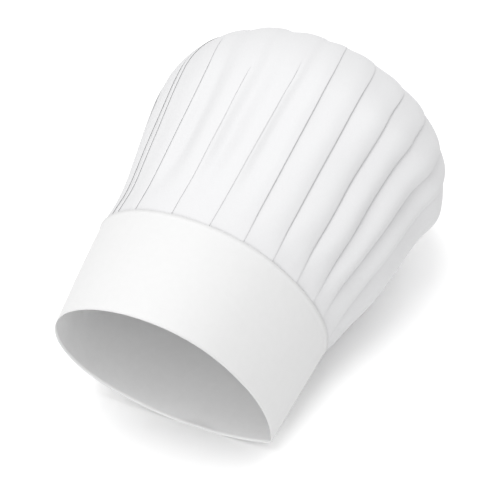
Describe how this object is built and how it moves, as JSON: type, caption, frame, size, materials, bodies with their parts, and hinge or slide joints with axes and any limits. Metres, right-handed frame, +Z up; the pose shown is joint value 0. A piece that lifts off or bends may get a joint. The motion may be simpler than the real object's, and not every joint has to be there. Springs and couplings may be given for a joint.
{
  "type": "disposable chef hat",
  "caption": "White disposable chef hat with a plain flat headband and a tall pleated crown that flares to a rounded, gathered top, lying on its back.",
  "frame": {"origin": "centre of the bounding box's underside, on the floor the hat lies on", "axes": "+Z up; -Y towards the open lower edge, +Y towards the gathered top; +X to the right as seen from the open end"},
  "size_m": [0.276, 0.3738, 0.2577],
  "materials": {
    "band_paper": "matt, smooth",
    "non_woven": "matt, fine bonded fibre"
  },
  "bodies": {
    "root": {"headband": "band_paper", "crown": "non_woven"}
  },
  "joints": []
}
